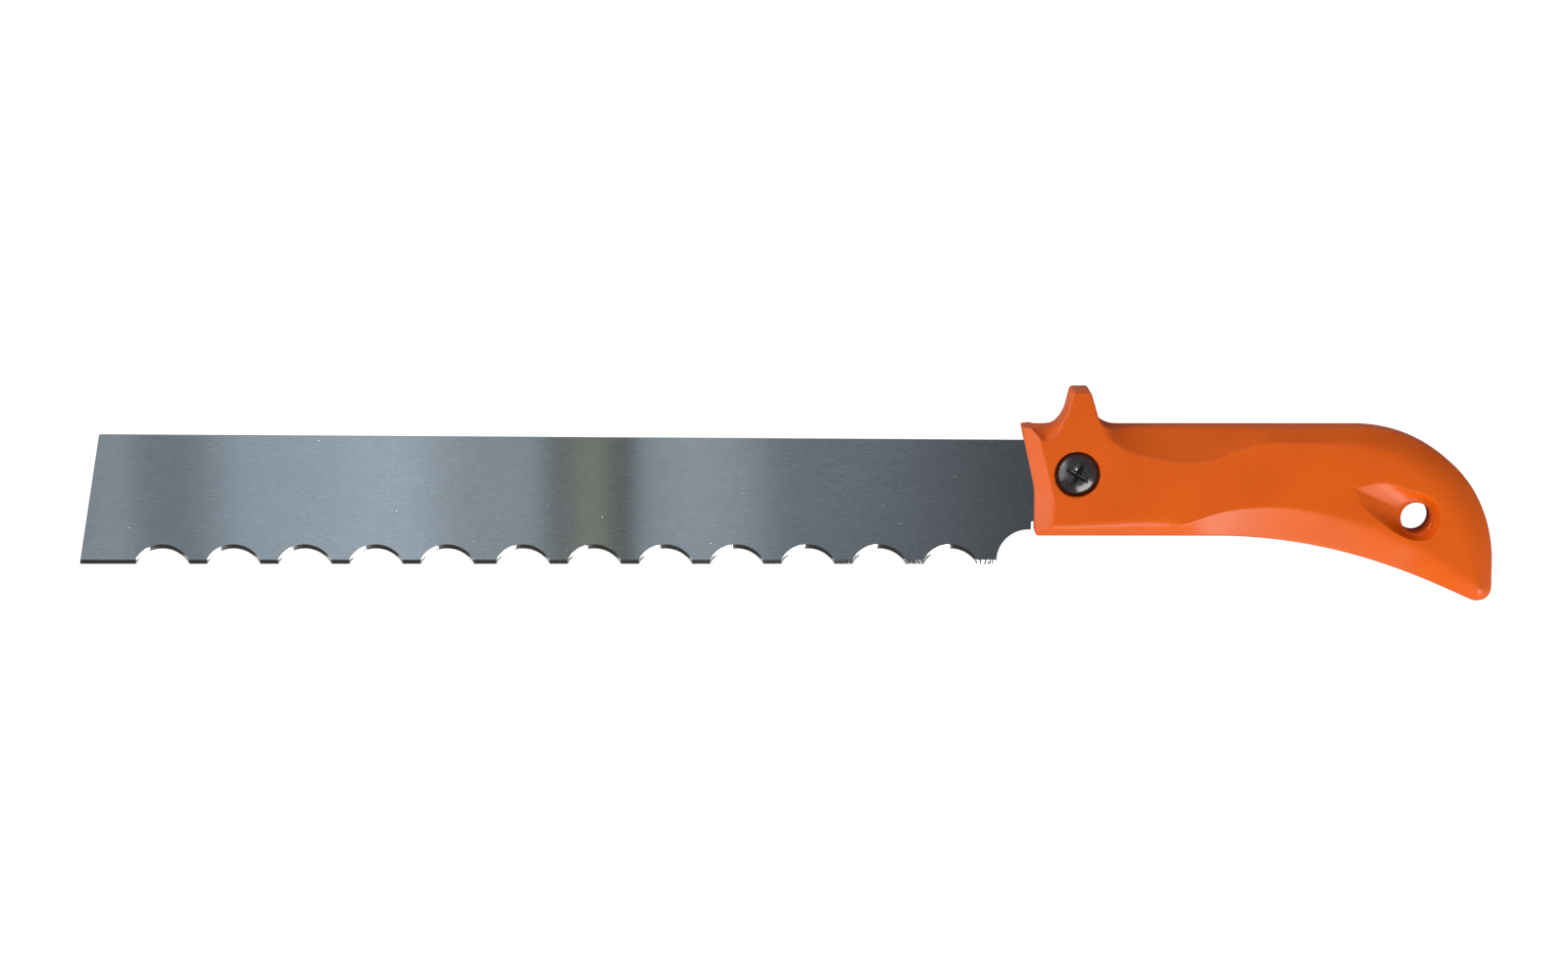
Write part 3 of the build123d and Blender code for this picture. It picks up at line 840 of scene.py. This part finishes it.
# ---------------------------------------------------------------- materials
class Nodes:
    """Short calls for one material's node tree."""

    def __init__(self, name):
        self.material = bpy.data.materials.new(name)
        self.material.use_nodes = True
        self.tree = self.material.node_tree
        self.shader = self.tree.nodes["Principled BSDF"]

    def node(self, kind, **inputs):
        new = self.tree.nodes.new("ShaderNode" + kind)
        for key, value in inputs.items():
            self.feed(new, key.replace("_", " "), value)
        return new

    def feed(self, node, key, value):
        socket = node.inputs[int(key[1:])] if key[0] == "#" else node.inputs[key]
        if isinstance(value, bpy.types.NodeSocket):
            self.tree.links.new(value, socket)
        else:
            socket.default_value = value

    def set(self, **inputs):
        for key, value in inputs.items():
            self.feed(self.shader, key.replace("_", " "), value)

    def place(self, scale):
        """Object coordinates, multiplied by the scale along each axis."""
        spot = self.node("TexCoord").outputs["Object"]
        mapping = self.node("Mapping", Vector=spot, Scale=scale)
        return mapping.outputs["Vector"]

    def noise(self, scale, detail=2.0, roughness=0.5):
        """Noise with the given number of cycles per millimetre along each axis."""
        per_metre = tuple(s / MM for s in scale)
        spot = self.place(per_metre)
        found = self.node("TexNoise", Vector=spot, Scale=1.0, Detail=detail, Roughness=roughness)
        return found.outputs["Fac"]

    def span(self, value, low, high, to_low, to_high):
        found = self.node(
            "MapRange", Value=value, From_Min=low, From_Max=high, To_Min=to_low, To_Max=to_high
        )
        return found.outputs["Result"]

    def math(self, operation, a, b=0.0):
        found = self.node("Math")
        found.operation = operation
        self.feed(found, "#0", a)
        self.feed(found, "#1", b)
        return found.outputs[0]

    def blend(self, share, a, b):
        """Colour a where the share is 0, b where it is 1."""
        found = self.node("Mix")
        found.data_type = "RGBA"
        self.feed(found, "#0", share)
        self.feed(found, "#6", a)
        self.feed(found, "#7", b)
        return found.outputs[2]

    def bump(self, height, strength, depth_mm, below=None):
        found = self.node("Bump", Strength=strength, Distance=depth_mm * MM, Height=height)
        if below is not None:
            self.feed(found, "Normal", below)
        return found.outputs["Normal"]


def linear(r, g, b):
    """Linear RGBA from 8-bit display values."""
    out = []
    for value in (r, g, b):
        v = value / 255
        out.append(v / 12.92 if v <= 0.04045 else ((v + 0.055) / 1.055) ** 2.4)
    return tuple(out) + (1.0,)


def orange_plastic():
    n = Nodes("moulded orange plastic")
    drift = n.noise((0.05, 0.05, 0.05), 3.0)
    mottle = n.noise((0.9, 0.9, 0.9), 3.0, 0.6)
    base = n.blend(n.span(drift, 0.35, 0.65, 0.0, 1.0), linear(214, 86, 3), linear(220, 91, 5))
    base = n.blend(n.span(mottle, 0.3, 0.75, 0.0, 0.35), base, linear(226, 97, 10))
    grain = n.noise((3.2, 3.2, 3.2), 2.0, 0.6)
    wave = n.noise((0.22, 0.22, 0.22), 2.0)
    normal = n.bump(grain, 0.35, 0.03)
    normal = n.bump(wave, 0.2, 0.08, normal)
    n.set(
        Base_Color=base,
        Roughness=n.span(grain, 0.3, 0.7, 0.3, 0.42),
        Normal=normal,
    )
    n.shader.inputs["Specular IOR Level"].default_value = 0.32
    return n.material


def blade_steel():
    n = Nodes("rolled blade steel")
    normal_z = n.node("SeparateXYZ", Vector=n.node("NewGeometry").outputs["True Normal"]).outputs["Z"]
    flat = n.math("GREATER_THAN", n.math("ABSOLUTE", normal_z), 0.95)
    streak = n.noise((0.5, 3.2, 3.2), 3.0, 0.65)
    grain = n.noise((1.6, 2.4, 2.4), 2.0, 0.6)
    cloud = n.noise((0.05, 0.09, 0.09), 3.0)
    pit = n.noise((1.5, 2.0, 2.0), 2.0, 0.7)
    ground = n.noise((2.2, 0.2, 0.2), 2.0, 0.6)
    steel = n.blend(n.span(streak, 0.3, 0.7, 0.0, 1.0), (0.49, 0.505, 0.52, 1), (0.63, 0.645, 0.66, 1))
    steel = n.blend(n.span(cloud, 0.3, 0.7, 0.0, 0.25), steel, (0.47, 0.48, 0.49, 1))
    bright = n.blend(n.span(ground, 0.3, 0.7, 0.0, 1.0), (0.50, 0.49, 0.47, 1), (0.74, 0.73, 0.70, 1))
    rolled = n.bump(streak, 0.1, 0.002)
    rolled = n.bump(grain, 0.08, 0.003, rolled)
    rolled = n.bump(n.span(pit, 0.68, 0.76, 0.0, 1.0), 0.4, 0.05, rolled)
    cross_ground = n.bump(ground, 0.5, 0.06)
    normal = n.node("Mix")
    normal.data_type = "VECTOR"
    n.feed(normal, "#0", flat)
    n.feed(normal, "#4", cross_ground)
    n.feed(normal, "#5", rolled)
    tangent = n.node("Tangent")
    tangent.direction_type = "UV_MAP"
    tangent.uv_map = "grain"
    n.set(
        Base_Color=n.blend(flat, bright, steel),
        Roughness=n.span(streak, 0.3, 0.7, 0.07, 0.09),
        Normal=normal.outputs[1],
        Tangent=tangent.outputs["Tangent"],
    )
    n.shader.inputs["Metallic"].default_value = 1.0
    n.shader.inputs["Anisotropic"].default_value = 0.95
    return n.material


def black_steel():
    n = Nodes("black chromate steel")
    speck = n.noise((6.0, 6.0, 6.0), 3.0, 0.7)
    cloud = n.noise((0.7, 0.7, 0.7), 3.0)
    share = n.span(cloud, 0.3, 0.7, 0.0, 1.0)
    base = n.blend(share, (0.018, 0.016, 0.016, 1), (0.034, 0.030, 0.029, 1))
    base = n.blend(n.span(speck, 0.66, 0.78, 0.0, 0.6), base, (0.16, 0.14, 0.13, 1))
    n.set(
        Base_Color=base,
        Roughness=n.span(cloud, 0.3, 0.7, 0.16, 0.28),
        Normal=n.bump(speck, 0.15, 0.02),
    )
    n.shader.inputs["Specular IOR Level"].default_value = 0.7
    return n.material


def zinc_steel():
    n = Nodes("bright zinc steel")
    cloud = n.noise((0.5, 0.5, 0.5), 3.0)
    speck = n.noise((5.0, 5.0, 5.0), 2.0)
    base = n.blend(n.span(cloud, 0.3, 0.7, 0.0, 1.0), (0.56, 0.57, 0.59, 1), (0.70, 0.70, 0.68, 1))
    n.set(
        Base_Color=base,
        Roughness=n.span(cloud, 0.3, 0.7, 0.24, 0.38),
        Normal=n.bump(speck, 0.2, 0.02),
    )
    n.shader.inputs["Metallic"].default_value = 1.0
    return n.material


# ---------------------------------------------------------------- studio
FLOOR_Z = CAD_BOX[0][2]
CAMERA_DISTANCE = 1.4
CAMERA_LENS = 98.44  # millimetres, for a sensor 36 mm wide
CAMERA_TILT = math.radians(8.1)
CAMERA_TARGET = ORIGIN + Vector((-95.109, -6.406, 0)) * MM
CARD_HEIGHT = 1.7  # metres over the blade
CARD_SIZE = (2.4, 1.8)
FLOOR_HALF = 6.0
BOARD_REACH = 0.25  # past the object's box
BOARD_LIFT = 0.0002

# Brightness that the blade mirrors, as display values, at places along the blade in millimetres.
BLADE_BANDS = (
    (-326, (121, 129, 134)),
    (-312, (132, 141, 146)),
    (-304, (107, 115, 122)),
    (-289, (107, 115, 122)),
    (-280, (125, 135, 142)),
    (-272, (139, 150, 158)),
    (-242, (147, 157, 166)),
    (-232, (153, 164, 173)),
    (-217, (152, 163, 172)),
    (-209, (141, 151, 158)),
    (-199, (130, 138, 144)),
    (-178, (130, 138, 144)),
    (-173, (116, 123, 128)),
    (-169, (84, 90, 93)),
    (-165, (100, 103, 98)),
    (-161, (119, 121, 112)),
    (-152, (115, 117, 107)),
    (-149, (62, 64, 64)),
    (-146, (70, 73, 76)),
    (-143, (125, 134, 139)),
    (-125, (137, 147, 153)),
    (-106, (125, 134, 140)),
    (-97, (102, 110, 118)),
    (-91, (74, 78, 80)),
    (-80, (66, 69, 71)),
    (-50, (68, 71, 72)),
    (-15, (66, 69, 71)),
)
STEEL_MIRROR = 0.56  # share of the card's brightness that the steel mirrors

WORLD_BASE = (0.30, 0.305, 0.315, 1)
# Direction, cosines where the patch begins and where it is full, and its colour.
WORLD_LOBES = (
    ((-1.0, 0.1, 0.12), 0.55, 0.9, (2.8, 2.78, 2.75, 1)),
    ((-0.42, -0.80, 0.42), 0.80, 0.93, (0.06, 0.06, 0.055, 1)),
)


def add_floor():
    mesh = bpy.data.meshes.new("floor")
    corners = [(-1, -1), (1, -1), (1, 1), (-1, 1)]
    mesh.from_pydata([(x * FLOOR_HALF, y * FLOOR_HALF, FLOOR_Z) for x, y in corners], [], [(0, 1, 2, 3)])
    floor = bpy.data.objects.new("floor", mesh)
    bpy.context.scene.collection.objects.link(floor)
    n = Nodes("white studio floor")
    fleck = n.noise((0.02, 0.02, 0.02), 2.0)
    n.set(
        Base_Color=n.blend(fleck, (0.14, 0.14, 0.14, 1), (0.16, 0.16, 0.16, 1)),
        Roughness=0.9,
        Emission_Color=(1, 1, 1, 1),
        Emission_Strength=0.95,
    )
    floor.data.materials.append(n.material)


def add_grey_board():
    """A grey board round the object's foot, which its sides mirror. The camera doesn't see it."""
    low, high = CAD_BOX
    x0, x1 = low[0] - BOARD_REACH, high[0] + BOARD_REACH
    y0, y1 = low[1] - BOARD_REACH, high[1] + BOARD_REACH
    z = FLOOR_Z + BOARD_LIFT
    mesh = bpy.data.meshes.new("grey_board")
    mesh.from_pydata([(x0, y0, z), (x1, y0, z), (x1, y1, z), (x0, y1, z)], [], [(0, 1, 2, 3)])
    board = bpy.data.objects.new("grey_board", mesh)
    bpy.context.scene.collection.objects.link(board)
    board.visible_camera = False
    board.visible_shadow = False
    n = Nodes("grey board")
    fleck = n.noise((0.02, 0.02, 0.02), 2.0)
    n.set(Base_Color=n.blend(fleck, (0.30, 0.30, 0.30, 1), (0.33, 0.33, 0.33, 1)), Roughness=0.9)
    board.data.materials.append(n.material)


def add_overhead_card():
    """The banded card that the flat of the blade mirrors. The camera doesn't see it."""
    camera_x = CAMERA_TARGET.x
    camera_height = CAMERA_DISTANCE * math.cos(CAMERA_TILT)
    mesh = bpy.data.meshes.new("overhead_card")
    x, y = CARD_SIZE[0] / 2, CARD_SIZE[1] / 2
    mesh.from_pydata([(-x, -y, 0), (-x, y, 0), (x, y, 0), (x, -y, 0)], [], [(0, 1, 2, 3)])
    card = bpy.data.objects.new("overhead_card", mesh)
    shift = math.tan(CAMERA_TILT) * CARD_HEIGHT
    card.location = (camera_x, CAMERA_TARGET.y - shift, ORIGIN.z + CARD_HEIGHT)
    bpy.context.scene.collection.objects.link(card)
    card.visible_camera = False

    n = Nodes("banded card")
    n.tree.nodes.remove(n.shader)
    across = n.node("SeparateXYZ", Vector=n.node("TexCoord").outputs["Object"]).outputs["X"]
    share = n.span(across, -x, x, 0.0, 1.0)
    ramp = n.node("ValToRGB", Fac=share)
    stops = ramp.color_ramp.elements
    while len(stops) > 1:
        stops.remove(stops[-1])
    for k, (blade_x, colour) in enumerate(BLADE_BANDS):
        place = ORIGIN.x + blade_x * MM - camera_x
        place *= 1 + CARD_HEIGHT / camera_height
        stop = stops[0] if k == 0 else stops.new(0.5)
        stop.position = min(max((place + x) / (2 * x), 0), 1)
        stop.color = linear(*colour)
    light = n.node("Emission", Color=ramp.outputs["Color"], Strength=1 / STEEL_MIRROR)
    output = n.tree.nodes["Material Output"]
    n.tree.links.new(light.outputs[0], output.inputs["Surface"])
    card.data.materials.append(n.material)


def add_softbox(name, azimuth, elevation, distance_m, size, power, colour=(1, 1, 1)):
    """A rectangular light that faces the grip. Azimuth 0 is +X and 90 is +Y, in degrees."""
    a, e = math.radians(azimuth), math.radians(elevation)
    aim = Vector((math.cos(a) * math.cos(e), math.sin(a) * math.cos(e), math.sin(e)))
    data = bpy.data.lights.new(name, "AREA")
    data.shape = "RECTANGLE"
    data.size, data.size_y = size
    data.energy = power
    data.color = colour
    light = bpy.data.objects.new(name, data)
    light.location = ORIGIN + aim * distance_m
    light.rotation_euler = aim.to_track_quat("Z", "Y").to_euler()
    bpy.context.scene.collection.objects.link(light)


def add_world():
    """A grey room that is bright on the left, and dark low down on the near left, which the bevels mirror."""
    world = bpy.data.worlds.new("studio")
    bpy.context.scene.world = world
    world.use_nodes = True
    tree = world.node_tree
    tree.nodes.clear()

    def node(kind, **inputs):
        new = tree.nodes.new("ShaderNode" + kind)
        for key, value in inputs.items():
            socket = new.inputs[key.replace("_", " ")]
            if isinstance(value, bpy.types.NodeSocket):
                tree.links.new(value, socket)
            else:
                socket.default_value = value
        return new

    direction = node("TexCoord").outputs["Generated"]
    light = WORLD_BASE
    for axis, low, high, colour in WORLD_LOBES:
        near = node("VectorMath")
        near.operation = "DOT_PRODUCT"
        tree.links.new(direction, near.inputs[0])
        near.inputs[1].default_value = Vector(axis).normalized()
        share = node("MapRange", Value=near.outputs["Value"], From_Min=low, From_Max=high)
        share.interpolation_type = "SMOOTHSTEP"
        mix = node("Mix")
        mix.data_type = "RGBA"
        tree.links.new(share.outputs["Result"], mix.inputs[0])
        if isinstance(light, bpy.types.NodeSocket):
            tree.links.new(light, mix.inputs[6])
        else:
            mix.inputs[6].default_value = light
        mix.inputs[7].default_value = colour
        light = mix.outputs[2]
    back = node("Background", Color=light, Strength=1.0)
    output = node("OutputWorld")
    tree.links.new(back.outputs[0], output.inputs["Surface"])


def add_camera():
    data = bpy.data.cameras.new("camera")
    data.sensor_width = 36.0
    data.lens = CAMERA_LENS
    data.clip_start = 0.01
    data.dof.use_dof = False
    camera = bpy.data.objects.new("camera", data)
    away = Vector((0, math.sin(CAMERA_TILT), math.cos(CAMERA_TILT)))
    camera.location = CAMERA_TARGET + away * CAMERA_DISTANCE
    camera.rotation_euler = (-CAMERA_TILT, 0, 0)
    bpy.context.scene.collection.objects.link(camera)
    bpy.context.scene.camera = camera


# ---------------------------------------------------------------- assembly
def paint(piece, material):
    piece.data.materials.clear()
    piece.data.materials.append(material)


def repaint_node(name, material):
    """Gives a carried-over CAD node its material, without touching its mesh."""
    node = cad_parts[name]
    for slot in node.material_slots:
        slot.link = "OBJECT"
        slot.material = material


def add_piece(piece, material, body, node):
    """Paints a new piece, and has it ride on its body and stand for its CAD node."""
    paint(piece, material)
    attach(piece, body)
    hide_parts(node)


FRONT_OPENINGS = [COUNTERBORE, HANGING_HOLE]
BACK_OPENINGS = [NUT_OPENING, HANGING_HOLE] + WELL_OPENINGS

add_camera()
plastic = orange_plastic()
black = black_steel()
zinc = zinc_steel()
front = build_shell("front_shell_visual", 1, FRONT_OPENINGS)
back = build_shell("back_shell_visual", -1, BACK_OPENINGS)
add_piece(front, plastic, "handle", "front_shell")
add_piece(back, plastic, "handle", "back_shell")
add_piece(build_blade(), blade_steel(), "blade", "blade")
add_piece(build_clamp_screw(), black, "screw", "clamp_screw")
repaint_node("spring_washer", black)
for name in ("clamp_nut", "shell_screw_1", "shell_screw_2", "shell_screw_3"):
    repaint_node(name, zinc)

bpy.context.scene.view_settings.view_transform = "Standard"
add_floor()
add_grey_board()
add_overhead_card()
add_world()
add_softbox("right_softbox", -60, 24, 1.3, (1.2, 0.6), 17.0)
add_softbox("high_spot", 98.3, 75.3, 1.2, (0.035, 0.035), 1.3)
add_softbox("left_fill", 150, 21, 1.4, (0.5, 0.35), 2.5, (0.85, 0.92, 1.0))
